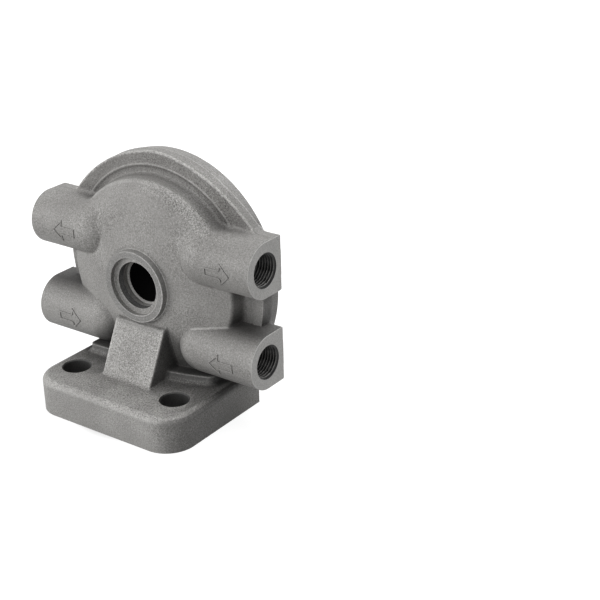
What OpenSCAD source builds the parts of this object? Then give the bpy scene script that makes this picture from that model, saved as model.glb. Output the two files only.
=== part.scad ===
// Spin-on fuel filter head: one aluminium casting with four threaded side ports,
// a threaded central boss for the filter and a two-hole mounting flange.
// Millimetres. X to the right, -Y towards the closed front, Z up.
// The origin is the centre of the flange's underside. Depths count from the rear
// face, where the rim ends, towards the front.

/* [Part] */
// Node to build

/* [Round cup] */
// Height of the cup's axis above the flange underside
axis_height = 60.65; // [58.5:0.05:75]
// Outer radius of the rim at its rear face
rim_radius = 57; // [55.5:0.5:58]
// Outer radius at the casting's parting line
parting_radius = 58.2; // [57:0.1:60]
// Depth of the parting line
parting_depth = 6.7; // [6.2:0.1:8]
// Depth of the plate's front face
plate_depth = 12.3; // [11:0.1:14]
// Outer radius of the plate's front face
plate_radius = 57.4; // [56:0.1:58]
// Mean radius of the bead on the plate's front face
bead_radius = 51.6; // [50:0.1:54]
// Radius of the bead's round section
bead_section = 0.75; // [0.4:0.05:1.2]
// Outer radius of the drum in front of the plate
drum_radius = 47.4; // [46:0.1:49]
// Edge radius between the drum's side and its domed front
drum_edge = 2.5; // [1:0.1:5]
// Radius of the domed front
dome_radius = 105; // [90:1:200]
// Depth of the dome's highest point
dome_depth = 31.3; // [31:0.1:34]

/* [Shoulders above the upper ports] */
// Radius of the right-hand shoulder's arc
right_shoulder_radius = 83; // [76:1:120]
// Radius of the left-hand shoulder's arc
left_shoulder_radius = 70; // [66:1:120]
// Direction in which the arc leaves the round plate, in degrees above X
shoulder_angle = 70; // [60:1:80]
// How far the arc starts inside the plate's edge
shoulder_inset = 0.3; // [0.1:0.1:1]
// Half-width over both shoulders
shoulder_half_width = 54.3; // [50:0.1:60]

/* [Filter recess] */
// Radius of the recess at the rear face
recess_radius = 54.6; // [53.5:0.1:55]
// Outer radius of the seal groove at its floor
groove_radius = 53.9; // [52:0.1:54]
// Depth of the seal groove's floor
groove_depth = 5.8; // [4:0.1:6]
// Outer radius of the lip inside the seal groove
lip_radius = 49.5; // [49:0.1:51]
// Radius of the cavity at the lip
cavity_radius = 47.7; // [46:0.1:48.5]
// Depth of the lip's top
lip_depth = 3.1; // [2:0.1:4]
// Radius of the cavity at its floor
floor_radius = 42; // [38:0.1:42.5]
// Depth of the cavity floor
floor_depth = 20; // [17:0.1:20.4]
// How much deeper the floor is on the right-hand side
pocket_drop = 3; // [1:0.1:3.2]

/* [Central boss] */
// Outer radius of the boss
boss_radius = 20.4; // [19:0.1:22]
// How far the boss stands out behind the rear face
boss_reach = 11.05; // [6:0.05:20]
// Radius of the boss at the cavity floor
boss_foot_radius = 27; // [24:0.1:28]
// Nominal radius of the filter thread
filter_thread_radius = 16; // [15:0.5:17]
// Thread pitch of the filter thread
filter_thread_pitch = 1.5; // [1:0.25:2]
// Length of the filter thread
filter_thread_length = 17; // [10:0.5:24]
// Radius of the chamber behind the filter thread
chamber_radius = 14.4; // [13:0.1:14.5]
// Depth of the chamber's front end
chamber_depth = 24; // [23.5:0.1:25]

/* [Front ring] */
// Outer radius of the ring at its face
ring_radius = 17.2; // [16.5:0.1:19]
// Outer radius of the ring at its foot
ring_foot_radius = 17.9; // [17:0.1:20]
// Depth of the ring's face
ring_depth = 32.8; // [32.3:0.1:36]
// Radius of the counterbore
counterbore_radius = 13.8; // [12:0.1:15]
// Height of the counterbore
counterbore_height = 2.5; // [1.5:0.1:3.5]
// Radius of the front bore
front_bore_radius = 11.2; // [9:0.1:11.5]

/* [Side ports] */
// Height of the upper ports above the cup's axis
upper_port_rise = 17.65; // [16.5:0.05:19]
// Drop of the lower ports below the cup's axis
lower_port_drop = 26.35; // [23:0.05:27]
// Depth of the ports' outer round
port_depth = 18.1; // [17.5:0.1:19]
// Radius of the ports' outer round
port_radius = 13; // [12:0.1:13.5]
// Half-width over the ports' end faces
port_half_width = 64; // [62:0.1:80]
// Depth of the ports' thread axis
port_bore_depth = 18.4; // [17.6:0.1:19]
// Nominal radius of the port thread
port_thread_radius = 8; // [6:0.5:8]
// Pitch of the port thread
port_thread_pitch = 1.5; // [1:0.25:2]
// Length of the port thread
port_thread_length = 16; // [10:0.5:18]
// Radius of the passage behind the thread
passage_radius = 6; // [4:0.1:6.2]
// Half-width between the round inner ends of the upper ports
upper_port_inner = 33; // [30:0.5:36]
// Half-width between the round inner ends of the lower ports
lower_port_inner = 30; // [28:0.5:34]

/* [Pipes inside the cavity] */
// Radius of the right-hand upper pipe
right_pipe_radius = 12; // [11:0.1:12.4]
// Where the right-hand upper pipe's round end is centred
right_pipe_end = 4; // [-2:0.5:6]
// Radius of the left-hand upper pipe
left_pipe_radius = 11; // [10.5:0.1:12]
// Drop of the left-hand upper pipe below the right-hand one
left_pipe_drop = 1.2; // [0:0.1:2]
// Radius of the lower pipes
lower_pipe_radius = 12; // [11:0.1:12.4]
// Half-width between the lower pipes' end faces
lower_pipe_inner = 34.3; // [33:0.1:38]

/* [Flange] */
// Half-width of the flange
flange_half_width = 43; // [42:0.1:50]
// How far the flange lies to the right of the cup's axis
flange_shift = 1.2; // [0:0.1:1.5]
// Depth of the flange from the rear face to the front
flange_depth = 63; // [60:0.5:80]
// Thickness of the flange
flange_thickness = 17; // [15:0.5:20]
// Radius of the flange's front corners
flange_corner = 14; // [6:0.5:15]
// Radius of the flange's top edge
flange_edge = 3; // [1:0.5:4]
// Height of the block behind the plate
rear_block_height = 24; // [20:0.5:24]
// Distance between the two mounting holes
bolt_spacing = 60; // [54:0.5:62]
// Depth of the mounting holes
bolt_depth = 43.7; // [42:0.1:48]
// Radius of the mounting holes
bolt_hole_radius = 6.5; // [4:0.25:7]
// Chamfer on the mounting holes
bolt_chamfer = 0.5; // [0.2:0.1:1]

/* [Web and gusset] */
// Half-width of the web under the lower ports
web_half_width = 36; // [34:0.5:40]
// Height of the web's top
web_height = 21; // [20:0.1:22]
// Depth of the web's front
web_depth = 25.5; // [24:0.1:28]
// Radius of the web's rounded front corners
web_corner = 2.5; // [1:0.1:4]
// Half-width of the gusset below the front ring
gusset_half_width = 14.5; // [10:0.5:16]
// Depth of the gusset's foot
gusset_foot_depth = 43.2; // [40:0.1:50]
// Depth of the gusset's top
gusset_top_depth = 30.5; // [30:0.1:32]
// Drop of the gusset's top below the cup's axis
gusset_top_drop = 18.85; // [18.2:0.05:22]

/* [Flow arrows] */
// Length of an arrow
arrow_length = 13.9; // [10:0.1:16]
// Length of the arrow's head
arrow_head_length = 5.9; // [4:0.1:7]
// Half the height of the arrow's head
arrow_head_half = 5.5; // [3:0.1:6]
// Half the height of the arrow's shaft
arrow_shaft_half = 2.2; // [1.2:0.05:3]
// Width of the raised line
arrow_line = 0.8; // [0.6:0.1:1]
// Height of the raised line
arrow_height = 0.4; // [0.2:0.1:0.8]
// Drop of the arrows below the ports' axes
arrow_drop = 0.9; // [0:0.1:2]
// Tip of the upper left arrow, which points outwards
arrow_upper_left_tip = 50.5; // [48:0.1:56]
// Tip of the upper right arrow, which points outwards
arrow_upper_right_tip = 54.2; // [48:0.1:58]
// Tip of the lower left arrow, which points inwards
arrow_lower_left_tip = 37.6; // [34:0.1:42]
// Tip of the lower right arrow, which points inwards
arrow_lower_right_tip = 39.8; // [34:0.1:42]

/* [Hidden] */
$fn = 96;
rear_y = flange_depth / 2;
upper_port_height = axis_height + upper_port_rise;
lower_port_height = axis_height - lower_port_drop;
gusset_top_height = axis_height - gusset_top_drop;
port_minor = port_thread_radius - 0.5413 * port_thread_pitch;
filter_minor = filter_thread_radius - 0.5413 * filter_thread_pitch;
port_mouth = port_thread_radius + 0.15;
filter_mouth = filter_thread_radius + 0.2;
dome_centre = dome_depth - dome_radius;
edge_r = drum_radius - drum_edge;
edge_d = dome_centre + sqrt(pow(dome_radius - drum_edge, 2) - edge_r * edge_r);
pocket_radius = sqrt((dome_depth - floor_depth - pocket_drop - 2.8) * 2 * dome_radius);
body_color = [0.62, 0.62, 0.61];

// Turns a profile of (radius, depth) about the cup's axis
module turned() {
  translate([0, rear_y, axis_height])
    rotate([90, 0, 0])
      rotate_extrude()
        children();
}

// Places a shape drawn in (x, z), from one depth to another
module at_depth(from, to) {
  translate([0, rear_y - from, 0])
    rotate([90, 0, 0])
      linear_extrude(height = to - from)
        children();
}

// Turns a profile of (radius, x) about a line along X at a depth and height
module along_x(depth, height) {
  translate([0, rear_y - depth, height])
    rotate([0, 90, 0])
      rotate_extrude()
        children();
}

// Rim and plate, with the bead on the plate's front
module rim_and_plate() {
  turned() union() {
    polygon([
      [0, 0],
      [rim_radius, 0],
      [parting_radius, parting_depth],
      [parting_radius - 0.4, plate_depth - 0.7],
      [plate_radius, plate_depth],
      [bead_radius, plate_depth],
      [bead_radius - 0.8, plate_depth - 0.3],
      [0, plate_depth - 0.3]
    ]);
    translate([bead_radius, plate_depth + 0.9 - bead_section])
      circle(r = bead_section);
  }
}

// Drum with a rounded edge and a domed front
module drum() {
  turned() union() {
    translate([0, parting_depth])
      square([drum_radius, edge_d - parting_depth]);
    translate([edge_r, edge_d])
      circle(r = drum_edge);
    intersection() {
      translate([0, dome_centre])
        circle(r = dome_radius, $fn = 360);
      polygon([
        [0, 0],
        [0, dome_depth + 10],
        [edge_r * 1.2, dome_centre + (edge_d - dome_centre) * 1.2],
        [edge_r, edge_d],
        [edge_r, 0]
      ]);
    }
  }
}

// One shoulder of the plate, between the round and the upper port
module shoulder(side) {
  shoulder_radius = side > 0 ? right_shoulder_radius : left_shoulder_radius;
  reach = parting_radius - shoulder_inset - shoulder_radius;
  at_depth(parting_depth, plate_depth)
    intersection() {
      translate([side * reach * cos(shoulder_angle), axis_height + reach * sin(shoulder_angle)])
        circle(r = shoulder_radius, $fn = 240);
      translate([side > 0 ? 0 : -shoulder_half_width, upper_port_height - 5])
        square([shoulder_half_width, 60]);
    }
}

// Solid outside of one side port, with its round inner end and its flat back
module port(side, height, inner) {
  mirror([side > 0 ? 0 : 1, 0, 0])
    intersection() {
      union() {
        along_x(port_depth, height) union() {
          translate([0, inner])
            square([port_radius, port_half_width - inner]);
          intersection() {
            translate([0, inner])
              circle(r = port_radius);
            translate([0, inner - port_radius])
              square([port_radius, port_radius]);
          }
        }
        translate([inner, rear_y - port_depth, height - port_radius])
          cube([port_half_width - inner, port_depth - parting_depth + 1, 2 * port_radius]);
      }
      translate([0, rear_y - port_depth - 20, height - 20])
        cube([port_half_width + 20, port_depth + 20 - parting_depth, 40]);
    }
}

// Profile of the flange from its middle to a rounded top edge
module flange_profile(w) {
  square([w - flange_edge, flange_thickness]);
  square([w, flange_thickness - flange_edge]);
  translate([w - flange_edge, flange_thickness - flange_edge])
    circle(r = flange_edge);
}

// Flange with rounded front corners and a rounded top edge
module flange() {
  x = flange_half_width - flange_corner;
  y = flange_corner - flange_depth / 2;
  translate([flange_shift, 0, 0]) {
    for (s = [-1, 1])
      translate([s * x, y, 0])
        rotate_extrude()
          flange_profile(flange_corner);
    translate([x, y, 0])
      rotate([90, 0, -90])
        linear_extrude(height = 2 * x)
          flange_profile(flange_corner);
    for (s = [0, 1])
      mirror([s, 0, 0])
        translate([0, rear_y - 1, 0])
          rotate([90, 0, 0])
            linear_extrude(height = flange_depth - flange_corner - 1)
              flange_profile(flange_half_width);
  }
}

// Block behind the plate that joins the rim to the flange
module rear_block() {
  translate([flange_shift - flange_half_width, rear_y - plate_depth, 0])
    cube([2 * flange_half_width, plate_depth, rear_block_height]);
}

// Web under the lower ports
module web() {
  w = web_half_width - web_corner;
  translate([0, rear_y - web_depth, flange_thickness - 5])
    linear_extrude(height = web_height - flange_thickness + 5)
      union() {
        translate([-web_half_width, web_corner])
          square([2 * web_half_width, web_depth - web_corner - parting_depth]);
        translate([-w, 0])
          square([2 * w, web_corner + 1]);
        for (x = [-w, w])
          translate([x, web_corner])
            circle(r = web_corner);
      }
}

// Sloped gusset between the flange and the front ring
module gusset() {
  w = gusset_half_width;
  translate([w, rear_y, 0])
    rotate([90, 0, -90])
      linear_extrude(height = 2 * w)
        polygon([
          [floor_depth + 4, flange_thickness - 4],
          [gusset_foot_depth + 1.9, flange_thickness - 4],
          [gusset_top_depth, gusset_top_height],
          [floor_depth + 4, gusset_top_height]
        ]);
}

// Ring around the front bore
module ring() {
  turned()
    polygon([
      [0, floor_depth + 5],
      [ring_foot_radius, floor_depth + 5],
      [ring_foot_radius, dome_depth - 1.6],
      [ring_radius + 0.1, ring_depth - 0.4],
      [ring_radius - 0.3, ring_depth],
      [0, ring_depth]
    ]);
}

// Space that the filter and its seal take, down to the cavity floor
module recess() {
  turned()
    polygon([
      [0, -1],
      [recess_radius, -1],
      [recess_radius, 0],
      [groove_radius, groove_depth],
      [lip_radius, groove_depth],
      [lip_radius, lip_depth],
      [cavity_radius, lip_depth],
      [floor_radius, floor_depth],
      [0, floor_depth]
    ]);
}

// Deeper part of the cavity floor on the right-hand side
module pocket() {
  intersection() {
    turned()
      polygon([
        [0, floor_depth - 2],
        [floor_radius - 0.5, floor_depth - 2],
        [floor_radius - 0.5, floor_depth],
        [pocket_radius, floor_depth + pocket_drop],
        [0, floor_depth + pocket_drop]
      ]);
    at_depth(floor_depth - 1, floor_depth + pocket_drop + 1)
      translate([0, axis_height])
        polygon([
          [-7, 51],
          [-7, -15.7],
          [-6, -29.8],
          [-0.6, -36.1],
          [9.7, -29.4],
          [17.2, -42.8],
          [24, -55.7],
          [60, -55.7],
          [60, 51]
        ]);
  }
}

// Boss with a flared foot
module boss() {
  turned()
    polygon([
      [0, -boss_reach],
      [boss_radius - 0.5, -boss_reach],
      [boss_radius, -boss_reach + 0.5],
      [boss_radius, 0],
      [boss_radius + 0.9, floor_depth * 0.4],
      [boss_radius + 2.8, floor_depth * 0.72],
      [boss_foot_radius, floor_depth],
      [boss_foot_radius, floor_depth + pocket_drop + 0.5],
      [0, floor_depth + pocket_drop + 0.5]
    ]);
}

// Limits the pipes to the space behind the casting's front wall
module inside_front() {
  turned()
    polygon([
      [0, -20],
      [drum_radius - 1, -20],
      [drum_radius - 1, floor_depth - 2],
      [floor_radius, floor_depth + 1],
      [pocket_radius, floor_depth + pocket_drop + 1],
      [0, dome_depth - 2]
    ]);
}

// Pipe from a point inside the cavity to its side wall
module upper_pipe(radius, from, drop) {
  along_x(port_depth - 0.8, upper_port_height - drop) union() {
    translate([0, from])
      square([radius, 46 - from]);
    intersection() {
      translate([0, from])
        circle(r = radius);
      translate([0, from - radius])
        square([radius, radius]);
    }
  }
}

// All pipes inside the cavity
module pipes() {
  intersection() {
    union() {
      upper_pipe(right_pipe_radius, right_pipe_end, 0);
      mirror([1, 0, 0])
        upper_pipe(left_pipe_radius, 2, left_pipe_drop);
      for (s = [0, 1])
        mirror([s, 0, 0])
          translate([lower_pipe_inner, rear_y - port_depth, lower_port_height])
            rotate([0, 90, 0])
              cylinder(r = lower_pipe_radius, h = 46 - lower_pipe_inner);
    }
    inside_front();
  }
}

// Threaded port with chamfered mouth and the passage behind it
module port_bore(side, height, passage_end) {
  mirror([side > 0 ? 0 : 1, 0, 0])
    along_x(port_bore_depth, height)
      polygon([
        [0, passage_end],
        [passage_radius, passage_end],
        [passage_radius, port_half_width - port_thread_length - 1],
        [port_minor, port_half_width - port_thread_length],
        [port_minor, port_half_width - (port_mouth - port_minor)],
        [port_mouth, port_half_width],
        [port_mouth, port_half_width + 1],
        [0, port_half_width + 1]
      ]);
}

// Filter thread, chamber and front bore on the cup's axis
module centre_bore() {
  thread_end = filter_thread_length - boss_reach;
  turned()
    polygon([
      [0, -boss_reach - 1],
      [filter_mouth, -boss_reach - 1],
      [filter_mouth, -boss_reach],
      [filter_minor, -boss_reach + filter_mouth - filter_minor],
      [filter_minor, thread_end],
      [chamber_radius, thread_end + 1],
      [chamber_radius, chamber_depth - 2],
      [front_bore_radius - 1, chamber_depth],
      [front_bore_radius, chamber_depth + 0.6],
      [front_bore_radius, ring_depth - counterbore_height - 2.8],
      [front_bore_radius + 0.4, ring_depth - counterbore_height - 2.5],
      [front_bore_radius + 0.4, ring_depth - counterbore_height - 1.9],
      [front_bore_radius, ring_depth - counterbore_height - 1.6],
      [front_bore_radius, ring_depth - counterbore_height],
      [counterbore_radius, ring_depth - counterbore_height],
      [counterbore_radius, ring_depth + 1],
      [0, ring_depth + 1]
    ]);
}

// Mounting holes, chamfered at both ends
module bolt_holes() {
  c = bolt_chamfer;
  for (s = [-1, 1])
    translate([s * bolt_spacing / 2, rear_y - bolt_depth, 0])
      rotate_extrude()
        polygon([
          [0, -1],
          [bolt_hole_radius + c, -1],
          [bolt_hole_radius + c, 0],
          [bolt_hole_radius, c],
          [bolt_hole_radius, flange_thickness - c],
          [bolt_hole_radius + c, flange_thickness],
          [bolt_hole_radius + c, flange_thickness + 1],
          [0, flange_thickness + 1]
        ]);
}

// Outline of an arrow along X that starts at zero
module arrow_outline() {
  b = arrow_length - arrow_head_length;
  h = arrow_head_half;
  s = arrow_shaft_half;
  w = arrow_line;
  slant = sqrt(arrow_head_length * arrow_head_length + h * h);
  k = w * slant / h;
  t = (h + slant) * w / arrow_head_length;
  difference() {
    polygon([[0, -s], [b, -s], [b, -h], [arrow_length, 0], [b, h], [b, s], [0, s]]);
    polygon([
      [w, -s + w],
      [b + w, -s + w],
      [b + w, -h + t],
      [arrow_length - k, 0],
      [b + w, h - t],
      [b + w, s - w],
      [w, s - w]
    ]);
  }
}

// Raised arrow on the front of a port; dir is 1 when it points to the right
module arrow(tip, dir, height) {
  intersection() {
    at_depth(port_depth + port_radius - 2, port_depth + port_radius + 2)
      translate([tip, height - arrow_drop])
        mirror([dir > 0 ? 0 : 1, 0])
          translate([-arrow_length, 0])
            arrow_outline();
    translate([tip - 20, rear_y - port_depth, height])
      rotate([0, 90, 0])
        cylinder(r = port_radius + arrow_height, h = 40);
  }
}

// Everything that is cast solid
module cast_outside() {
  rim_and_plate();
  drum();
  shoulder(1);
  shoulder(-1);
  port(1, upper_port_height, upper_port_inner);
  port(-1, upper_port_height, upper_port_inner);
  port(1, lower_port_height, lower_port_inner);
  port(-1, lower_port_height, lower_port_inner);
  flange();
  rear_block();
  web();
  gusset();
  ring();
}

// The whole casting
module head_casting() {
  color(body_color)
    difference() {
      union() {
        difference() {
          cast_outside();
          recess();
          pocket();
        }
        boss();
        pipes();
        arrow(-arrow_upper_left_tip, -1, upper_port_height);
        arrow(arrow_upper_right_tip, 1, upper_port_height);
        arrow(-arrow_lower_left_tip, 1, lower_port_height);
        arrow(arrow_lower_right_tip, -1, lower_port_height);
      }
      port_bore(1, upper_port_height, -0.5);
      port_bore(-1, upper_port_height, -0.5);
      port_bore(1, lower_port_height, lower_port_inner);
      port_bore(-1, lower_port_height, lower_port_inner);
      centre_bore();
      bolt_holes();
    }
}

head_casting();
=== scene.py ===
import math

import bmesh
import bpy
import numpy as np
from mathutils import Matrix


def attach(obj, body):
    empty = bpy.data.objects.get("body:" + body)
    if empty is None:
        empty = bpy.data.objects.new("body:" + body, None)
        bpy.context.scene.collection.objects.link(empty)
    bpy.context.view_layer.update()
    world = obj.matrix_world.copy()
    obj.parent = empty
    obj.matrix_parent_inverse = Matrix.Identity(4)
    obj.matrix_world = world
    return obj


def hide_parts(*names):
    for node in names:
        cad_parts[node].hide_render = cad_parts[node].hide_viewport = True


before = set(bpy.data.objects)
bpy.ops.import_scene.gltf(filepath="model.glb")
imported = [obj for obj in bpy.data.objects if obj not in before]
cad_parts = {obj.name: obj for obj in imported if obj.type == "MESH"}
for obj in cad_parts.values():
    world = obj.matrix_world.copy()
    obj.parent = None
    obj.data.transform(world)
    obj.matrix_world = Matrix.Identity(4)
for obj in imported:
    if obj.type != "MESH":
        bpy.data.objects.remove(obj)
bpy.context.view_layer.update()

import openvdb as vdb
from mathutils import Matrix, Vector

# Sizes in mm. A depth (d) counts from the rear face towards the closed front, as in the CAD.
REAR_Y = 31.5
AXIS_Z = 60.65  # the cup's axis
RIM_RADIUS = 58.2
PLATE_DEPTH = 12.3  # front face of the plate round the drum
PARTING_DEPTH = 6.7  # the ports' backs are cut flat here
UPPER_Z = 78.3  # the ports' axes
LOWER_Z = 34.3
PORT_DEPTH = 18.1
PORT_RADIUS = 13.0
PORT_X = 64.0  # half-width over the port faces
PORT_BORE_DEPTH = 18.4
BOLT_X = 30.0
BOLT_DEPTH = 43.7
RIDGE_RADIUS = 51.9  # low ridge on the plate, above the ports
SHOULDER_RADIUS = 83.0  # outline of the plate above the right port
SHOULDER_LOSS = 13.0  # how much less that is on the left
SHOULDER_EASE = 0.32  # keeps the skin's top inside the CAD's box
SHOULDER_X = 54.3
SHOULDER_LOW = 73.0
FLANGE_TOP = 17.0
FLANGE_SHIFT = 1.2
FLANGE_CORNER = 14.0
FLANGE_CORNER_X = 29.0
FLANGE_CORNER_DEPTH = 48.97
BLOCK_TOP = 24.0
BLOCK_DEPTH = 11.5
WEB_X = 36.0
WEB_TOP = 21.0
GUSSET_X = 14.5
GUSSET_TOP = 41.8
PIPE_DEPTH = 17.4
STOCK = 0.7  # left on the flat faces that are machined
PITCH = 1.5  # of all threads
SKIN_TRIANGLES = 120000.0  # of the cast skin, before it is machined
MM = 1000.0  # in a metre


# Profiles and distances
def rounded(points, steps=7):
    """Closed profile with each corner rounded; points are (r, d, radius)."""
    out = []
    n = len(points)
    for i in range(n):
        p = np.array(points[i][:2], float)
        rad = points[i][2] if len(points[i]) > 2 else 0
        a = np.array(points[i - 1][:2], float) - p
        b = np.array(points[(i + 1) % n][:2], float) - p
        la, lb = np.linalg.norm(a), np.linalg.norm(b)
        a, b = a / la, b / lb
        half = math.acos(max(-1, min(1, float(a @ b)))) / 2
        if rad <= 0 or half > 1.56:
            out.append(p)
            continue
        cut = min(rad / math.tan(half), 0.49 * la, 0.49 * lb)
        rad = cut * math.tan(half)
        mid = (a + b) / np.linalg.norm(a + b)
        c = p + mid * (rad / math.sin(half))
        v0, v1 = p + a * cut - c, p + b * cut - c
        a0 = math.atan2(v0[1], v0[0])
        da = math.atan2(v1[1], v1[0]) - a0
        da = (da + math.pi) % (2 * math.pi) - math.pi
        for t in np.linspace(0, 1, steps):
            w = a0 + da * t
            out.append(c + rad * np.array([math.cos(w), math.sin(w)]))
    return np.array(out)


def poly_dist(poly, px, py):
    """Signed distance to a closed polygon, negative inside."""
    best = np.full(px.shape, 1e9, np.float32)
    inside = np.zeros(px.shape, bool)
    for i in range(len(poly)):
        x0, y0 = poly[i]
        x1, y1 = poly[i - 1]
        ex, ey = x1 - x0, y1 - y0
        wx, wy = px - x0, py - y0
        t = np.clip((wx * ex + wy * ey) / (ex * ex + ey * ey + 1e-12), 0, 1)
        bx, by = wx - ex * t, wy - ey * t
        best = np.minimum(best, bx * bx + by * by)
        if y0 != y1:
            cross = (py >= y0) != (py >= y1)
            inside ^= cross & (px < x0 + ex * (py - y0) / ey)
    return np.where(inside, -1, 1) * np.sqrt(best)


class Turned:
    """Distance table of a profile that is turned about the cup's axis."""

    LOW_R, LOW_D, HIGH_R, HIGH_D, STEP = -6.0, -16.0, 92.0, 70.0, 0.1

    def __init__(self, points):
        rr = np.arange(self.LOW_R, self.HIGH_R, self.STEP, dtype=np.float32)
        dd = np.arange(self.LOW_D, self.HIGH_D, self.STEP, dtype=np.float32)
        gr, gd = np.meshgrid(rr, dd, indexing="ij")
        self.table = poly_dist(rounded(points), gr, gd).astype(np.float32)

    def __call__(self, r, d):
        t = self.table
        fr = (r - self.LOW_R) / self.STEP
        fd = (d - self.LOW_D) / self.STEP
        i = np.clip(fr.astype(np.int32), 0, t.shape[0] - 2)
        j = np.clip(fd.astype(np.int32), 0, t.shape[1] - 2)
        a = np.clip(fr - i, 0, 1)
        b = np.clip(fd - j, 0, 1)
        near = t[i, j] * (1 - a) + t[i + 1, j] * a
        far = t[i, j + 1] * (1 - a) + t[i + 1, j + 1] * a
        return near * (1 - b) + far * b


def smin(a, b, k):
    """The lesser of two distances, with a fillet of about k."""
    h = np.clip(0.5 + 0.5 * (b - a) / k, 0, 1)
    return b + (a - b) * h - k * h * (1 - h)


def smax(a, b, k):
    return -smin(-a, -b, k)


def quadrant(u, v):
    """Distance to the quarter where u and v are both below 0."""
    return np.hypot(np.maximum(u, 0), np.maximum(v, 0)) + np.minimum(np.maximum(u, v), 0)


def corner(a, b, rad):
    """Inside both a and b, with a rounded edge of that radius."""
    return quadrant(a + rad, b + rad) - rad


# The dome's section, from the drum's edge in to the ring.
dome = [(r, 31.3 - r * r / 210.0) for r in np.linspace(44.5, 19.5, 12)]
rim = [(-5.9, -STOCK), (56.9, -STOCK), (57.0, 0.0), (RIM_RADIUS, 6.6, 0.5), (57.8, PLATE_DEPTH, 0.3)]
drum = [(47.8, PLATE_DEPTH, 2.4), (47.0, 20.9, 2.8)]
ring_foot = [(18.0, 29.75, 0.3), (17.6, 30.4), (17.6, 33.6), (-5.9, 33.6)]
outer = Turned(rim + drum + dome + ring_foot)
cavity = Turned([(-5.9, -2.5), (49.3, -2.5), (47.7, 3.1), (42.0, 20.0, 3.5), (-5.9, 20.0)])
pocket = Turned([(-5.9, 15.0), (42.0, 15.0), (41.2, 20.0, 2), (35.0, 23.2, 2), (-5.9, 23.2)])
boss = Turned(
    [(-5.9, -11.8), (20.5, -11.8), (20.5, 0.0), (21.1, 6.0, 9), (23.4, 14.0, 12), (28.5, 21.0)]
    + [(30.0, 24.5), (-5.9, 24.5)]
)
inner_limit = Turned([(-5.9, -15), (46.2, -15), (46.2, 17.5, 2), (41.8, 21.2, 2), (34.5, 24.3, 2), (-5.9, 28.6)])
pocket_plan = rounded(
    [(-7, 112), (-7, 45), (-6, 30.9, 1), (-0.6, 24.6, 1), (9.7, 31.3, 1), (17.2, 17.9, 1)]
    + [(24, 5), (60, 5), (60, 112)],
    4,
)


def port(ax, d, z, height, inner):
    """D-shaped port: round in front, flat behind, with a round inner end."""
    u, v = d - PORT_DEPTH, z - height
    q = np.minimum(ax - inner, 0)
    cap = np.sqrt(q * q + u * u + v * v) - PORT_RADIUS
    back = smax(np.abs(v) - PORT_RADIUS, -u - (PORT_DEPTH - PARTING_DEPTH), 1.0)
    back = np.maximum(np.maximum(back, u), inner - ax)
    return smax(np.minimum(cap, back), PARTING_DEPTH - d, 0.6)


def pipe(x, d, z, start, rad, height):
    """Pipe towards +x with a round end at start."""
    q = np.minimum(x - start, 0)
    return np.sqrt(q * q + (d - PIPE_DEPTH) ** 2 + (z - height) ** 2) - rad


def shoulders(x, d, z):
    """The plate's outline above the upper ports, wider than the rim."""
    rad = (SHOULDER_RADIUS - SHOULDER_LOSS * np.clip(-x / 8.0, 0, 1)).astype(np.float32)
    back = RIM_RADIUS - SHOULDER_EASE - rad
    lean = np.radians(70)
    ax = np.abs(x)
    arc = np.hypot(np.hypot(ax, 3.0) - back * math.cos(lean), z - AXIS_Z - back * math.sin(lean)) - rad
    plan = smax(smax(arc, ax - SHOULDER_X, 1.5), SHOULDER_LOW - z, 0.5)
    return smax(plan, np.abs(d - 9.5) - 2.8, 0.4)


def foot(x, d, z):
    """Flange, the block behind the plate, web and gusset."""
    ax = np.abs(x)
    plan = quadrant(np.abs(x - FLANGE_SHIFT) - FLANGE_CORNER_X, d - FLANGE_CORNER_DEPTH) - FLANGE_CORNER
    level = smin(z - FLANGE_TOP, smax(z - BLOCK_TOP, d - BLOCK_DEPTH, 1.5), 2.0)
    edge = 1.0 + 2.0 * np.clip((d - 11.0) / 5.0, 0, 1)
    base = np.maximum(corner(plan, level, edge), np.maximum(-STOCK - d, -STOCK - z))
    front = np.interp(x, (-36.0, -15.0, 15.0, 24.0, 36.0), (28.0, 27.0, 30.0, 27.8, 24.0)).astype(np.float32)
    web = np.maximum(smax(corner(ax - WEB_X, d - front, 2.5), z - WEB_TOP, 0.6), 5.0 - d)
    slope = 0.893 * (d - 43.2) + 0.45 * (z - 16.6)
    gusset = smax(smax(slope, z - GUSSET_TOP, 1.0), ax - GUSSET_X, 1.0)
    return smin(smin(base, web, 3.0), np.maximum(gusset, 21.0 - d), 1.6)


def insides(x, d, z, r):
    """Boss and pipes inside the cup."""
    right = pipe(x, d, z, 4.0, 12.0, UPPER_Z)
    left = pipe(-x, d, z, 1.0, 11.0, UPPER_Z - 1.2)
    left = left + 0.55 * np.exp(-(((x + 30.5) / 0.7) ** 2))
    low = np.maximum(np.hypot(d - PORT_DEPTH, z - LOWER_Z) - 12.0, 34.3 - np.abs(x))
    inner = smin(smin(smin(right, left, 1.2), boss(r, d), 3.0), low, 1.0)
    return np.maximum(inner, inner_limit(r, d))


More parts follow.
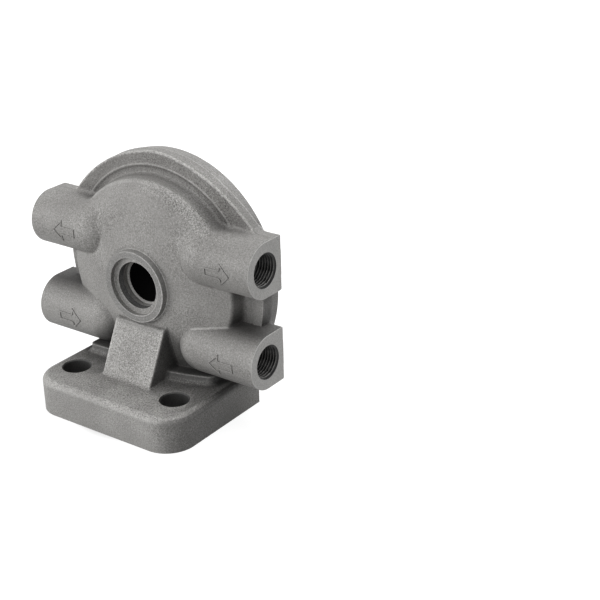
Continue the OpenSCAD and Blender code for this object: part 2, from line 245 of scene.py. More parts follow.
def casting(x, y, z):
    """Distance to the raw casting, before anything is machined."""
    x, y, z = (np.asarray(v, np.float32) for v in (x, y, z))
    d = REAR_Y - y
    ax = np.abs(x)
    r = np.hypot(x, z - AXIS_Z)
    ridge = np.hypot(r - RIDGE_RADIUS, d - 12.1) - 0.65 * np.clip((z - 80.0) / 8.0, 0, 1)
    o = smin(outer(r, d), ridge, 0.6)
    o = smin(o, shoulders(x, d, z), 0.3)
    o = smin(o, foot(x, d, z), 0.9)
    o = smin(o, port(ax, d, z, UPPER_Z, 33.0), 0.5 + 2.2 * np.clip((z - UPPER_Z + 1.0) / 6.0, 0, 1))
    o = smin(o, port(ax, d, z, LOWER_Z, 30.0), 0.5)
    plan = poly_dist(pocket_plan, x, z).astype(np.float32)
    hollow = smin(cavity(r, d), smax(pocket(r, d), plan, 0.8), 0.8)
    return smin(smax(o, -hollow, 0.8), insides(x, d, z, r), 1.6)


# Cast surface
def spread(a, step, shape):
    """Each cell repeated step times along every axis."""
    a = np.repeat(np.repeat(np.repeat(a, step, 0), step, 1), step, 2)
    return a[: shape[0], : shape[1], : shape[2]].copy()


def surface(voxel):
    """Points and quads of the cast skin, on a grid of that spacing."""
    lo = np.array([-65.5, -33.0, -2.0])
    hi = np.array([65.5, 44.5, 121.0])
    n = np.ceil((hi - lo) / voxel).astype(int) + 1
    xs, ys, zs = (lo[i] + voxel * np.arange(n[i], dtype=np.float32) for i in range(3))
    # a coarse grid first, and then the full one near the surface only
    step, batch = 4, 400000
    coarse = casting(*np.meshgrid(xs[::step], ys[::step], zs[::step], indexing="ij"))
    full = spread(coarse, step, n)
    near = spread(np.abs(coarse) < voxel * step * 1.25 + 1.0, step, n)
    for axis in range(3):
        grown = near.copy()
        for shift in (-step // 2, step // 2):
            grown |= np.roll(near, shift, axis)
        near = grown
    i, j, k = np.nonzero(near)
    values = np.empty(len(i), np.float32)
    for start in range(0, len(i), batch):
        e = slice(start, start + batch)
        values[e] = casting(xs[i[e]], ys[j[e]], zs[k[e]])
    full[i, j, k] = values
    cap = voxel * 3
    grid = vdb.FloatGrid(cap)
    grid.copyFromArray(np.clip(full, -cap, cap).astype(np.float32))
    grid.transform = vdb.createLinearTransform(voxelSize=voxel)
    pts, quads = grid.convertToQuads(isovalue=0.0)
    pts = np.asarray(pts, np.float64) + lo
    for _ in range(4):
        f, g = gradient(pts)
        pts -= np.clip(f, -0.3, 0.3)[:, None] * g
    quads = np.asarray(quads)
    return sharpen(pts, quads, voxel), quads


def sharpen(pts, quads, voxel):
    """Move each vertex towards the point where its neighbours' tangent planes meet."""
    _, nor = gradient(pts, 0.1)
    itself = [np.arange(len(pts))]
    a = np.concatenate([quads[:, i] for i in range(4)] * 2 + itself)
    b = np.concatenate([quads[:, (i + 1) % 4] for i in range(4)] + [quads[:, i - 1] for i in range(4)] + itself)
    dist = np.einsum("ij,ij->i", nor[b], pts[b] - pts[a])
    lhs = np.zeros((len(pts), 3, 3))
    rhs = np.zeros((len(pts), 3))
    for i in range(3):
        rhs[:, i] = np.bincount(a, nor[b, i] * dist, len(pts))
        for j in range(3):
            lhs[:, i, j] = np.bincount(a, nor[b, i] * nor[b, j], len(pts))
    lhs += np.eye(3) * 0.35
    move = np.linalg.solve(lhs, rhs[..., None])[..., 0]
    size = np.linalg.norm(move, axis=1)[:, None]
    return pts + move * np.minimum(1.0, 0.8 * voxel / (size + 1e-9))


def gradient(p, e=0.05):
    """Distance at each point, and the way out of the casting."""
    x, y, z = p[:, 0], p[:, 1], p[:, 2]
    f = casting(x, y, z)
    g = np.stack(
        [
            casting(x + e, y, z) - casting(x - e, y, z),
            casting(x, y + e, z) - casting(x, y - e, z),
            casting(x, y, z + e) - casting(x, y, z - e),
        ],
        1,
    )
    g /= np.linalg.norm(g, axis=1)[:, None] + 1e-9
    return f.astype(np.float64), g.astype(np.float64)


def bend(p, h=0.45):
    """Mean bend of the cast surface, in 1/mm: above 0 on an edge, below 0 in a crease."""
    x, y, z = p[:, 0], p[:, 1], p[:, 2]
    total = casting(x + h, y, z) + casting(x - h, y, z) + casting(x, y + h, z)
    total = total + casting(x, y - h, z) + casting(x, y, z + h) + casting(x, y, z - h)
    return (total - 6.0 * casting(x, y, z)) / (h * h)


def shelter(p):
    """How much a place is closed in by the casting around it, from 0 to about 1."""
    _, n = gradient(p, 0.4)
    total = np.zeros(len(p))
    for reach, share in ((7.0, 0.2), (15.0, 0.4), (30.0, 0.4)):
        q = p + n * reach
        total += share * (1.0 - np.clip(casting(*q.T) / reach, 0.0, 1.0))
    return total


def soften(values, me, rounds=8):
    """Average a value over neighbouring vertices."""
    ends = np.empty(len(me.edges) * 2, np.int32)
    me.edges.foreach_get("vertices", ends)
    a, b = ends[0::2], ends[1::2]
    count = np.bincount(ends, minlength=len(values)) + 1.0
    for _ in range(rounds):
        total = np.bincount(a, values[b], len(values)) + np.bincount(b, values[a], len(values))
        values = (values + total) / count
    return values


# Meshes and machining tools
def make(name, verts, faces, mats):
    """Object from points in mm."""
    me = bpy.data.meshes.new(name)
    verts = [tuple(v) for v in np.asarray(verts, float) / MM]
    me.from_pydata(verts, [], [tuple(int(i) for i in f) for f in faces])
    me.update()
    ob = bpy.data.objects.new(name, me)
    bpy.context.scene.collection.objects.link(ob)
    for m in mats:
        me.materials.append(m)
    return ob


def make_closed(name, verts, faces, mats):
    ob = make(name, verts, faces, mats)
    bm = bmesh.new()
    bm.from_mesh(ob.data)
    bmesh.ops.recalc_face_normals(bm, faces=bm.faces)
    bm.to_mesh(ob.data)
    bm.free()
    return ob


# An axis maps (radius, length along, angle) to a point.
def cup_axis(r, t, a):
    return np.stack([r * np.cos(a), REAR_Y - t, AXIS_Z + r * np.sin(a)], -1)


def spigot_axis(r, t, a):
    return cup_axis(r, -t, a)


def port_axis(side, height):
    return lambda r, t, a: np.stack([side * t, REAR_Y - PORT_BORE_DEPTH + r * np.cos(a), height + r * np.sin(a)], -1)


def bolt_axis(side):
    return lambda r, t, a: np.stack([side * BOLT_X + r * np.cos(a), REAR_Y - BOLT_DEPTH + r * np.sin(a), t], -1)


def turned_solid(name, rows, ends, place, mat, segs):
    """Closed solid from rows of (radius or radii, t) and its two ends on the axis."""
    ang = np.linspace(0, 2 * math.pi, segs, endpoint=False)
    verts = [place(np.array(0.0), np.array(t), np.array(0.0)) for t in ends]
    for r, t in rows:
        verts.extend(place(np.full(segs, r), np.full(segs, t), ang))

    def at(k, i):
        return 2 + k * segs + i % segs

    last = len(rows) - 1
    faces = []
    for i in range(segs):
        faces.append((0, at(0, i + 1), at(0, i)))
        faces.append((1, at(last, i), at(last, i + 1)))
        for k in range(last):
            faces.append((at(k, i), at(k, i + 1), at(k + 1, i + 1), at(k + 1, i)))
    return make_closed(name, verts, faces, [mat])


def lathe(name, profile, place, mat, segs=160):
    """Solid of a profile (r, t) that starts and ends on the axis."""
    ends = (float(profile[0][1]), float(profile[-1][1]))
    return turned_solid(name, profile[1:-1], ends, place, mat, segs)


def screw(name, minor, major, span, mouth, place, segs=64, steps=8):
    """Threaded cutter over a span, with a chamfered mouth (radius, place along)."""
    ang = np.linspace(0, 2 * math.pi, segs, endpoint=False)
    rows = []
    for t in list(np.arange(*span, PITCH / steps)) + [span[1]]:
        phase = (t / PITCH - ang / (2 * math.pi)) % 1.0
        crest = np.clip(1.35 * (1 - np.abs(2 * phase - 1)) - 0.12, 0, 1)
        run_out = np.clip((t - span[0]) / PITCH, 0, 1)
        rad = minor + (major - minor) * crest * run_out
        cone = mouth[0] + (t - mouth[1])
        rows.append((np.maximum(rad, min(cone, mouth[0])), t))
    return turned_solid(name, rows, span, place, thread, segs)


def block(name, lo, hi, mat):
    v = [(x, y, z) for x in (lo[0], hi[0]) for y in (lo[1], hi[1]) for z in (lo[2], hi[2])]
    f = [(0, 1, 3, 2), (4, 6, 7, 5), (0, 4, 5, 1), (2, 3, 7, 6), (0, 2, 6, 4), (1, 5, 7, 3)]
    return make_closed(name, v, f, [mat])


def bake(ob):
    """Apply the object's modifiers."""
    dg = bpy.context.evaluated_depsgraph_get()
    me = bpy.data.meshes.new_from_object(ob.evaluated_get(dg), depsgraph=dg)
    ob.modifiers.clear()
    ob.data = me


def cut(body, cutters):
    for c in cutters:
        m = body.modifiers.new(c.name, "BOOLEAN")
        m.operation = "DIFFERENCE"
        m.object = c
        m.solver = "MANIFOLD"
        m.material_mode = "TRANSFER"
    bake(body)
    for c in cutters:
        bpy.data.objects.remove(c)


# Materials
def nodes_of(name):
    m = bpy.data.materials.new(name)
    m.use_nodes = True
    nt = m.node_tree
    return m, nt, nt.nodes["Principled BSDF"]


class Nodes:
    """Short ways to add nodes to a material; lengths are given in mm."""

    def __init__(self, nt):
        self.new, self.link = nt.nodes.new, nt.links.new
        self.place = self.new("ShaderNodeTexCoord").outputs["Object"]
        split = self.new("ShaderNodeSeparateXYZ")
        self.link(self.place, split.inputs[0])
        self.x, self.y, self.z = split.outputs

    def noise(self, scale, detail, roughness):
        n = self.new("ShaderNodeTexNoise")
        n.inputs["Scale"].default_value = scale
        n.inputs["Detail"].default_value = detail
        n.inputs["Roughness"].default_value = roughness
        self.link(self.place, n.inputs["Vector"])
        return n.outputs["Fac"]

    def attribute(self, key):
        n = self.new("ShaderNodeAttribute")
        n.attribute_name = key
        return n.outputs["Fac"]

    def maths(self, kind, *values):
        n = self.new("ShaderNodeMath")
        n.operation = kind
        for slot, v in zip(n.inputs, values):
            if isinstance(v, (int, float)):
                slot.default_value = v
            else:
                self.link(v, slot)
        return n.outputs[0]

    def add(self, value, mask, amount):
        """The value, plus that amount where the mask is 1."""
        return self.maths("MULTIPLY_ADD", mask, amount, value)

    def every(self, first, *others):
        for other in others:
            first = self.maths("MULTIPLY", first, other)
        return first

    def some(self, first, *others):
        for other in others:
            first = self.maths("MAXIMUM", first, other)
        return first

    def stretch(self, v, lo, hi, to_lo=0.0, to_hi=1.0):
        n = self.new("ShaderNodeMapRange")
        self.link(v, n.inputs["Value"])
        for key, value in (("From Min", lo), ("From Max", hi), ("To Min", to_lo), ("To Max", to_hi)):
            n.inputs[key].default_value = value
        return n.outputs["Result"]

    def along(self, v, lo, hi, to_lo=0.0, to_hi=1.0):
        """stretch over a length."""
        return self.stretch(v, lo / MM, hi / MM, to_lo, to_hi)

    def above(self, v, limit):
        return self.maths("GREATER_THAN", v, limit / MM)

    def below(self, v, limit):
        return self.maths("LESS_THAN", v, limit / MM)

    def within(self, v, lo, hi):
        return self.maths("COMPARE", v, (lo + hi) / 2 / MM, (hi - lo) / 2 / MM)

    def radius(self, a, b):
        return self.maths("SQRT", self.maths("MULTIPLY_ADD", a, a, self.maths("MULTIPLY", b, b)))

    def cup_radius(self):
        return self.radius(self.x, self.maths("SUBTRACT", self.z, AXIS_Z / MM))

    def port_height(self):
        """Height above the nearer port's axis."""
        upper = self.above(self.z, (UPPER_Z + LOWER_Z) / 2)
        axis = self.maths("MULTIPLY_ADD", upper, (UPPER_Z - LOWER_Z) / MM, LOWER_Z / MM)
        return self.maths("SUBTRACT", self.z, axis)

    def blend(self, kind, a, b, factor):
        """Mix of two colours; each input is a socket, a colour or a number."""
        n = self.new("ShaderNodeMix")
        n.data_type = "RGBA"
        n.blend_type = kind
        n.clamp_factor = False
        slots = [i for i in n.inputs if i.type == "RGBA"]
        for slot, v in zip([n.inputs["Factor"]] + slots, (factor, a, b)):
            if isinstance(v, (int, float)):
                slot.default_value = v
            elif isinstance(v, tuple):
                slot.default_value = (*v, 1)
            else:
                self.link(v, slot)
        return [o for o in n.outputs if o.type == "RGBA"][0]


def painted_edge_highlights(g):
    """Painted highlights along the edges of the port faces and of the front ring.

    They are 1 towards the top and towards +x, where the photograph shows them bright, and fade elsewhere.
    """
    across = g.maths("MAXIMUM", g.maths("SUBTRACT", (REAR_Y - PORT_DEPTH) / MM, g.y), 0.0)
    reach = g.radius(across, g.port_height())
    on_face = g.above(g.maths("ABSOLUTE", g.x), PORT_X - 0.2)
    port_edge = g.every(g.above(reach, PORT_RADIUS - 0.4), on_face)
    port_edge = g.every(port_edge, g.along(g.port_height(), -8, 4, 0.15, 1.0))
    radius = g.cup_radius()
    rings = g.some(g.within(radius, 17.3, 18.2), g.within(radius, 16.7, 17.0), g.within(radius, 13.85, 14.1))
    rings = g.every(rings, g.along(g.x, -12, 8, 0.1, 1.0))
    return g.some(port_edge, g.every(rings, g.below(g.y, 2.5)))


def crests(g):
    """Painted light and shade on the threads: 1 on their crests, 0 at their roots and deep in the ports.

    In the ports only the lower half is bright, as in the photograph, and the front bore's rings stay dim.
    """
    radius = g.radius(g.maths("SUBTRACT", g.y, (REAR_Y - PORT_BORE_DEPTH) / MM), g.port_height())
    port_thread = g.every(
        g.along(radius, 7.25, 7.6, 1.0, 0.0),
        g.along(g.maths("ABSOLUTE", g.x), 50, 61),
        g.along(g.port_height(), -6, 3, 1.0, 0.15),
    )
    radius = g.cup_radius()
    spigot = g.every(g.along(radius, 15.25, 15.75, 1.0, 0.0), g.above(g.y, 15))
    front = g.every(g.along(radius, 11.2, 11.4, 0.35, 0.0), g.below(g.y, 15))
    return g.some(port_thread, g.every(g.below(radius, 20), g.some(spigot, front)))


def cast_wear_and_painted_light(g, shade, patchy, wear_and_painted_light):
    """Worn edges, partly painted highlight; painted shade in creases; painted light and shade on some faces; and the
    rougher places of the cast skin, where the photograph shows them.
    """
    radius = g.cup_radius()
    bent = g.attribute("bend")
    side = g.maths("ABSOLUTE", g.x)
    gusset = g.every(g.within(side, -1, 14.3), g.within(g.z, 17.5, 43), g.within(g.y, -13, 0))
    plate = g.every(g.within(g.y, REAR_Y - 12.6, REAR_Y - 12.0), g.within(g.z, 88, 125))
    flange_top = g.every(g.within(g.z, 16.3, 18.5), g.within(g.y, -34, 9))
    dome_edge = g.every(
        g.within(radius, 42.5, 47.5),
        g.within(g.y, -10, REAR_Y - 18.5),
        g.within(g.x, 0, 60),
        g.within(g.z, 90, 110),
    )
    # stronger grain on the gusset, the flange's top and the dome's upper right edge, and in broad patches
    grain = g.stretch(g.noise(25, 2, 0.6), 0.45, 0.6, 0.8, 1.35)
    grain = g.add(grain, g.some(gusset, flange_top, dome_edge), 0.8)
    shade = g.maths("MULTIPLY_ADD", g.maths("SUBTRACT", shade, 0.5), grain, 0.5)
    # painted light: the gusset and the dome's upper right edge are made lighter
    shade = g.add(shade, g.some(gusset, dome_edge), 0.1)
    # worn edges, partly real wear and partly painted highlight; the plate's border is worn above the ports only
    border = g.every(g.within(radius, 55.5, 62), g.within(g.y, REAR_Y - 13, REAR_Y - 11.4))
    ridge = g.every(g.within(radius, 51, 53), g.within(g.y, REAR_Y - 13.2, REAR_Y - 11.4))
    high = g.above(g.z, 84)
    amount = g.maths("MULTIPLY_ADD", g.every(border, high), 0.3, wear_and_painted_light)
    amount = g.add(amount, g.every(border, g.maths("SUBTRACT", 1.0, high)), -0.6 * wear_and_painted_light)
    amount = g.add(amount, ridge, -0.7 * wear_and_painted_light)
    shade = g.add(shade, g.every(g.stretch(bent, 0.15, 1.1), amount), patchy)
    # painted shade in creases, but a light line where the lower right port meets the drum
    port_line = g.every(g.within(g.x, 20, 50), g.within(g.z, 44, 48.5), g.within(g.y, -8, 18))
    crease = g.stretch(bent, -0.9, -0.15, 1.0, 0.0)
    shade = g.add(shade, crease, g.maths("MULTIPLY_ADD", port_line, 0.8, -0.25 * wear_and_painted_light))
    # parting line on the rim
    parting = g.every(g.within(g.y, 24.5, 25.0), g.within(radius, 57, 60), high)
    shade = g.add(shade, parting, g.maths("MULTIPLY", patchy, 0.35))
    # the plate above the ports is darker, and painted shade darkens everything towards the top
    shade = g.add(shade, plate, -0.25)
    return g.maths("ADD", shade, g.along(g.z, 45, 80, 0.0, -0.12))


def cast_painted_shade(g):
    """Share of the colour that is left where shade is painted.

    Sheltered places get painted shade. The other masks are painted shade as well, as the photograph is lit: it lies on
    the web, on the right sides of the flange and the gusset, and inside the cup.
    """
    side = g.maths("ABSOLUTE", g.x)
    web = g.every(g.within(side, -1, 36.8), g.within(g.y, 0.8, 9.5), g.within(g.z, 17.6, 20.5))
    flank = g.every(g.along(g.x, 34, 43), g.within(g.z, -1, 16), g.along(g.y, 5, 30, 1.0, 0.0))
    cheek = g.every(g.within(g.x, 14.3, 15.5), g.within(g.z, 17.5, 43), g.within(g.y, -13, 9))
    unshaded = g.stretch(g.attribute("shelter"), 0.3, 1.0, 1.0, 0.15)
    for mask in (web, flank, cheek):
        unshaded = g.every(unshaded, g.maths("MULTIPLY_ADD", mask, -0.4, 1.0))
    # painted shade, darker towards the cup's floor; the two cones keep off its outer wall and the dome
    radius = g.cup_radius()
    wall = g.below(g.maths("MULTIPLY_ADD", g.y, -0.337, radius), 38.8)
    deep = g.below(g.maths("MULTIPLY_ADD", g.y, -1.94, radius), 20.7)
    inside = g.every(wall, deep, g.within(g.y, REAR_Y - 24, REAR_Y + 12))
    cup_shade = g.along(g.y, REAR_Y - 22.0, REAR_Y - 3.0, -0.6, 0.0)
    return g.every(unshaded, g.maths("MULTIPLY_ADD", inside, cup_shade, 1.0))


def aluminium(
    name, dark, light, rough, metal, bump=1.0, grain=1.0, specks=1.0, wear_and_painted_light=0.0, rim=0.0, lit_crests=False, specular=0.5
):
    """Bare aluminium: gritty colour, small light specks, worn edges, painted highlights and shade, and a fine bump."""
    m, nt, bsdf = nodes_of(name + "_aluminium")
    g = Nodes(nt)
    broad = g.noise(45, 3, 0.55)
    mid = g.noise(1400 * grain, 3, 0.75)
    fine = g.noise(3400 * grain, 3, 0.8)
    tone = g.maths("MULTIPLY_ADD", mid, 0.4, g.maths("MULTIPLY", broad, 0.15))
    tone = g.maths("MULTIPLY_ADD", fine, 0.45, tone)
    shade = g.stretch(tone, 0.39, 0.61)
    if specks:
        dots = g.stretch(g.noise(1900 * grain, 2, 0.9), 0.62, 0.68, 0.0, 0.8 * specks)
        shade = g.maths("ADD", shade, dots)
    patchy = g.stretch(g.noise(900 * grain, 3, 0.8), 0.42, 0.58, 0.35, 1.0)
    if wear_and_painted_light:
        shade = cast_wear_and_painted_light(g, shade, patchy, wear_and_painted_light)
    # painted highlights along the edges of the port faces and the front ring
    if rim:
        shade = g.add(shade, g.every(painted_edge_highlights(g), patchy), rim)
    if lit_crests:
        shade = g.every(crests(g), shade)
    colour = g.blend("MIX", dark, light, shade)
    if wear_and_painted_light:
        # painted shade multiplies the colour in sheltered places, on the web, the flanks and inside the cup
        colour = g.blend("MULTIPLY", colour, cast_painted_shade(g), 1.0)
    g.link(colour, bsdf.inputs["Base Color"])
    bsdf.inputs["Metallic"].default_value = metal
    bsdf.inputs["Specular IOR Level"].default_value = specular
    g.link(g.stretch(mid, 0.35, 0.65, rough + 0.07, rough - 0.07), bsdf.inputs["Roughness"])
    normal = None
    for height, strength, distance in ((mid, 0.5, 0.2), (fine, 0.6, 0.1)):
        b = g.new("ShaderNodeBump")
        b.inputs["Strength"].default_value = strength * bump
        b.inputs["Distance"].default_value = distance / MM
        g.link(height, b.inputs["Height"])
        if normal:
            g.link(normal, b.inputs["Normal"])
        normal = b.outputs["Normal"]
    g.link(normal, bsdf.inputs["Normal"])
    return m


cast = aluminium("cast", (0.158, 0.153, 0.146), (0.41, 0.403, 0.39), 0.62, 0.15, wear_and_painted_light=0.9)
machined = aluminium("machined", (0.2, 0.197, 0.191), (0.35, 0.346, 0.337), 0.45, 0.7, 0.25, 1.2, 0.4, rim=1.8)
turned = aluminium("turned", (0.11, 0.108, 0.103), (0.4, 0.392, 0.38), 0.5, 0.4, 0.6, rim=1.2)
ring = aluminium("ring", (0.11, 0.108, 0.104), (0.3, 0.296, 0.287), 0.55, 0.3, 0.4, specks=0.6, rim=2.0)
# painted shade: the threads stay near black except where their crests are painted light
thread = aluminium("thread", (0.006, 0.006, 0.006), (0.5, 0.49, 0.475), 0.45, 0.3, 0.15, 1.6, 0.0, lit_crests=True)
# painted shade on the flanks of the arrows' raised lines
grimy = aluminium("grimy", (0.05, 0.049, 0.047), (0.13, 0.128, 0.123), 0.7, 0.1)
bore = aluminium("bore", (0.2, 0.196, 0.188), (0.5, 0.49, 0.475), 0.55, 0.2, 0.5, specks=0.3)
# painted shade: the bolt holes are dark inside
hole = aluminium("hole", (0.02, 0.0197, 0.019), (0.07, 0.069, 0.067), 0.55, 0.3, 0.3, 1.6, 0.0)
# painted shade: the chamber and the ports' passages are near black
painted_shade_black = aluminium("chamber", (0.0005,) * 3, (0.002,) * 3, 0.8, 0.0, 0.3, 1.6, 0.0, specular=0.02)

# The body: the cast skin, thinned where it is plain, and then machined
pts, quads = surface(0.7)
body = make("casting_skin", pts, quads, [cast, machined, turned, ring, thread, bore, hole, painted_shade_black])
# thinned fully where it is flat, half where it bends a little, and not at edges
bent = np.abs(bend(pts))
group = body.vertex_groups.new(name="plain")
for level, weight in ((0.0, 1.0), (0.12, 0.5), (0.3, 0.0)):
    group.add([int(i) for i in np.nonzero(bent >= level)[0]], weight, "REPLACE")
thin = body.modifiers.new("thin", "DECIMATE")
thin.ratio = min(1.0, SKIN_TRIANGLES / (2 * len(quads)))
thin.vertex_group = "plain"
thin.vertex_group_factor = 1.0
bake(body)
body.vertex_groups.clear()

# Profiles are (radius, depth) or (radius, place along the axis).
RING = [(0, 32.8), (16.95, 32.8), (17.2, 32.55), (17.2, 30.0), (19.2, 30.0), (19.2, 40), (0, 40)]
BOSS_FACE = [(0, -11.05), (19.5, -11.05), (21.3, -9.25), (21.3, -0.5), (46.0, -0.1), (46.0, 0)]
SEAL_GROOVE = [(46.0, 3.1), (49.4, 3.1), (49.5, 3.2), (49.5, 5.8), (53.9, 5.8), (54.6, 0.15), (54.75, 0)]
BEHIND = [(110, 0), (110, -30), (0, -30)]
CHAMBER = [(0, 5.6), (15.4, 5.6), (14.4, 6.9), (14.4, 22), (10.2, 24), (10.2, 25), (0, 25)]
FRONT_BORE = [(0, 24.0), (10.6, 24.0), (11.2, 24.6), (11.2, 27.2), (0, 27.2)]
FRONT_RINGS = [(0, 27.0), (11.25, 27.0)]
FRONT_RINGS += [(11.2 + 0.22 * (k % 2), 27.15 + 0.28 * k) for k in range(10)]
FRONT_RINGS += [(11.2, 30.1), (11.2, 30.5), (0, 30.5)]
COUNTERBORE = [(0, 30.3), (13.6, 30.3), (13.8, 30.5), (13.8, 32.6), (14.0, 32.8), (14.0, 45), (0, 45)]
BOLT_HOLE = [(0, -2), (7.0, -2), (7.0, 0), (6.5, 0.5), (6.5, 16.5), (7.0, 17.0), (7.0, 20), (0, 20)]

cutters = [
    block("cut_base", (-80, -60, -20), (80, 60, 0), machined),
    block("cut_left", (-90, -60, -20), (-PORT_X, 60, 140), machined),
    block("cut_right", (PORT_X, -60, -20), (90, 60, 140), machined),
    lathe("cut_ring", RING, cup_axis, ring),
    lathe("cut_rear", BOSS_FACE + SEAL_GROOVE + BEHIND, cup_axis, machined, 320),
    lathe("cut_chamber", CHAMBER, cup_axis, painted_shade_black),
    lathe("cut_front_bore", FRONT_BORE, cup_axis, bore),
    lathe("cut_front_rings", FRONT_RINGS, cup_axis, thread),
    lathe("cut_counterbore", COUNTERBORE, cup_axis, turned),
    screw("cut_filter_thread", 15.188, 16.05, (-6.2, 13.0), (16.2, 11.05), spigot_axis, 128),
]
for side in (-1, 1):
    for tag, height, end in (("upper", UPPER_Z, -0.5), ("lower", LOWER_Z, 30.0)):
        place = port_axis(side, height)
        passage = [(0, end), (6, end), (6, 48.5), (0, 48.5)]
        cutters.append(lathe(f"cut_{tag}_{side}", passage, place, painted_shade_black, 64))
        cutters.append(screw(f"cut_{tag}_thread_{side}", 7.188, 8.05, (48.0, 66.0), (8.15, PORT_X), place))
    cutters.append(lathe(f"cut_bolt_{side}", BOLT_HOLE, bolt_axis(side), hole, 96))
cut(body, cutters)

me = body.data
me.shade_smooth()
me.set_sharp_from_angle(angle=math.radians(32))
spots = np.empty(len(me.vertices) * 3)
me.vertices.foreach_get("co", spots)
spots = spots.reshape(-1, 3) * MM
for name, values in (("bend", bend(spots)), ("shelter", soften(shelter(spots), me))):
    me.attributes.new(name, "FLOAT", "POINT").data.foreach_set("value", values.astype(np.float32))
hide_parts("head_casting")
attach(body, "root")
print("casting_skin triangles", sum(len(p.vertices) - 2 for p in me.polygons))

# Arrows
ARROW_LENGTH = 13.9
ARROW_NECK = 8.0  # where the head starts
ARROW_HEAD = 5.5  # half-widths
ARROW_SHAFT = 2.2
# Section of the raised line: place across it, and height
LINE = [(-0.46, -0.3), (-0.4, 0.25), (-0.22, 0.4), (0.22, 0.4), (0.4, 0.25), (0.46, -0.3)]


def arrow(name, tip, way, height, drop):
    """Raised outline of an arrow on the front of a port."""
    half = [(0, ARROW_SHAFT), (ARROW_NECK, ARROW_SHAFT), (ARROW_NECK, ARROW_HEAD)]
    loop = [(a, -b) for a, b in half] + [(ARROW_LENGTH, 0)] + half[::-1]
    path = rounded([(*p, 0.25) for p in loop], 3)
    # even steps along the loop, so that it follows the round port
    dense = []
    for p, q in zip(path, np.roll(path, -1, 0)):
        k = max(1, int(np.linalg.norm(q - p) / 0.5))
        dense.extend(p + (q - p) * t / k for t in range(k))
    path = np.array(dense)
    n, m = len(path), len(LINE)
    tan = np.roll(path, -1, 0) - np.roll(path, 1, 0)
    tan /= np.linalg.norm(tan, axis=1)[:, None]
    nor = np.stack([tan[:, 1], -tan[:, 0]], 1)
    verts = []
    for off, rise in LINE:
        q = path + nor * (off - 0.4)
        x = tip + way * (q[:, 0] - ARROW_LENGTH)
        t = q[:, 1] - drop
        d = PORT_DEPTH + np.sqrt((PORT_RADIUS + rise) ** 2 - t * t)
        verts.extend(np.stack([x, REAR_Y - d, height + t], 1))
    faces = []
    for k in range(m):
        for i in range(n):
            a, c = k * n, ((k + 1) % m) * n
            faces.append((a + i, a + (i + 1) % n, c + (i + 1) % n, c + i))
    ob = make_closed(name, verts, faces, [cast, grimy])
    # the raised lines' two flanks take the painted shade material
    for k, poly in enumerate(ob.data.polygons):
        poly.material_index = 1 if k // n in (0, m - 2) else 0
    ob.data.shade_smooth()
    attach(ob, "root")


arrow("arrow_upper_left", -50.5, -1, UPPER_Z, 0.2)
arrow("arrow_upper_right", 54.2, 1, UPPER_Z, 1.1)
arrow("arrow_lower_left", -37.6, 1, LOWER_Z, 0.9)
arrow("arrow_lower_right", 39.8, -1, LOWER_Z, 1.3)

# Stage and view, in m
scene = bpy.context.scene
scene.view_settings.view_transform = "Standard"
FLOOR_HALF = 3.0
FLOOR_Z = -0.0002
AIM = Vector((0, 0, 0.06))
SOFTBOX = 0.5  # side of each lamp


def background_rays(nt):
    """1 for a ray that shows the background: from the camera, or off metal or through glass."""
    path = nt.nodes.new("ShaderNodeLightPath")
    total = path.outputs["Is Camera Ray"]
    for name in ("Is Glossy Ray", "Is Transmission Ray"):
        n = nt.nodes.new("ShaderNodeMath")
        n.operation = "MAXIMUM"
        nt.links.new(total, n.inputs[0])
        nt.links.new(path.outputs[name], n.inputs[1])
        total = n.outputs[0]
    return total


def paper(name):
    """White paper: lit, with the object's shadow, near the object, and plain white further out."""
    m, nt, bsdf = nodes_of(name)
    new, link = nt.nodes.new, nt.links.new
    bsdf.inputs["Base Color"].default_value = (0.25, 0.25, 0.25, 1)
    bsdf.inputs["Roughness"].default_value = 1.0
    co = new("ShaderNodeTexCoord")
    far = new("ShaderNodeVectorMath")
    far.operation = "LENGTH"
    link(co.outputs["Object"], far.inputs[0])
    fade = new("ShaderNodeValToRGB")
    link(far.outputs["Value"], fade.inputs["Fac"])
    stops = fade.color_ramp.elements
    for at, level in ((0.026, 0.0), (0.033, 0.88), (0.12, 0.96), (0.3, 1.0)):
        stop = stops.new(at) if level else stops[0]
        stop.position = at
        stop.color = (level, level, level, 1)
    seen = new("ShaderNodeMath")
    seen.operation = "MULTIPLY"
    link(fade.outputs["Color"], seen.inputs[0])
    link(background_rays(nt), seen.inputs[1])
    glow = new("ShaderNodeEmission")
    link(seen.outputs[0], glow.inputs["Strength"])
    add = new("ShaderNodeAddShader")
    link(bsdf.outputs[0], add.inputs[0])
    link(glow.outputs[0], add.inputs[1])
    link(add.outputs[0], nt.nodes["Material Output"].inputs["Surface"])
    return m


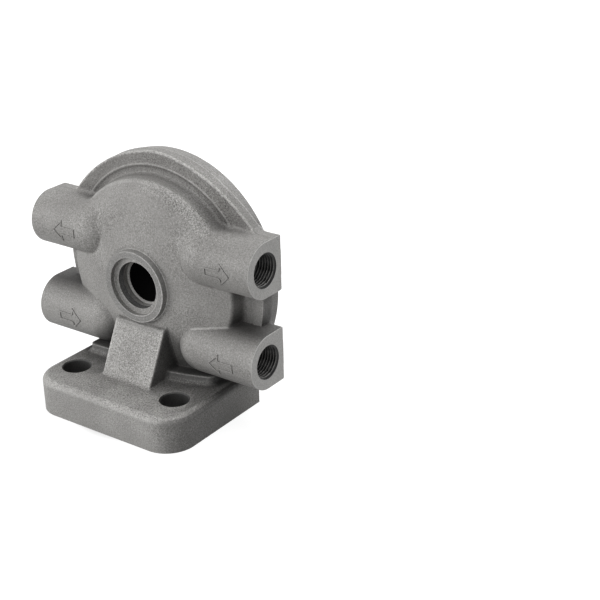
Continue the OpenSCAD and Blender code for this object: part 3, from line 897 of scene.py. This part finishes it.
floor_mesh = bpy.data.meshes.new("floor")
floor_corners = [(a * FLOOR_HALF, b * FLOOR_HALF, FLOOR_Z) for a, b in ((-1, -1), (1, -1), (1, 1), (-1, 1))]
floor_mesh.from_pydata(floor_corners, [], [(0, 1, 2, 3)])
floor = bpy.data.objects.new("floor", floor_mesh)
scene.collection.objects.link(floor)
floor_mesh.materials.append(paper("floor_paper"))

world = bpy.data.worlds.new("studio")
scene.world = world
world.use_nodes = True
wt = world.node_tree
faint = wt.nodes["Background"]
white = wt.nodes.new("ShaderNodeBackground")
for node, strength in ((faint, 0.05), (white, 1.0)):
    node.inputs["Color"].default_value = (1, 1, 1, 1)
    node.inputs["Strength"].default_value = strength
pick = wt.nodes.new("ShaderNodeMixShader")
wt.links.new(background_rays(wt), pick.inputs[0])
wt.links.new(faint.outputs[0], pick.inputs[1])
wt.links.new(white.outputs[0], pick.inputs[2])
wt.links.new(pick.outputs[0], wt.nodes["World Output"].inputs["Surface"])


def lamp(name, azimuth, elevation, energy):
    """Square softbox 1 m from the object; azimuth 0 is in front of the closed side, 90 to its right."""
    a, e = math.radians(azimuth), math.radians(elevation)
    away = Vector((math.sin(a) * math.cos(e), -math.cos(a) * math.cos(e), math.sin(e)))
    light = bpy.data.lights.new(name, "AREA")
    light.shape = "SQUARE"
    light.size = SOFTBOX
    light.energy = energy
    ob = bpy.data.objects.new(name, light)
    scene.collection.objects.link(ob)
    ob.location = AIM + away
    ob.rotation_euler = (-away).to_track_quat("-Z", "Y").to_euler()


lamp("front_left", 315, 15, 5.1)
lamp("front", 0, 15, 3.3)
lamp("top_back", 180, 70, 4.4)
lamp("top_right", 90, 70, 2.4)
lamp("back", 180, 20, 3.5)

# The camera's place and axes come from the fit of the casting to the photograph's left view.
cam_data = bpy.data.cameras.new("camera")
cam_data.sensor_width = 36.0
cam_data.sensor_fit = "HORIZONTAL"
cam_data.lens = 77.614
cam_data.clip_start = 0.01
cam = bpy.data.objects.new("camera", cam_data)
scene.collection.objects.link(cam)
scene.camera = cam
right = Vector((0.81841, 0.574339, -0.018423))
up = Vector((-0.223438, 0.347599, 0.910632))
forward = Vector((-0.529416, 0.741154, -0.412808))
turn = Matrix((right, up, -forward)).transposed().to_4x4()
cam.matrix_world = Matrix.Translation(Vector((0.372404, -0.393416, 0.295411))) @ turn

bpy.context.view_layer.update()
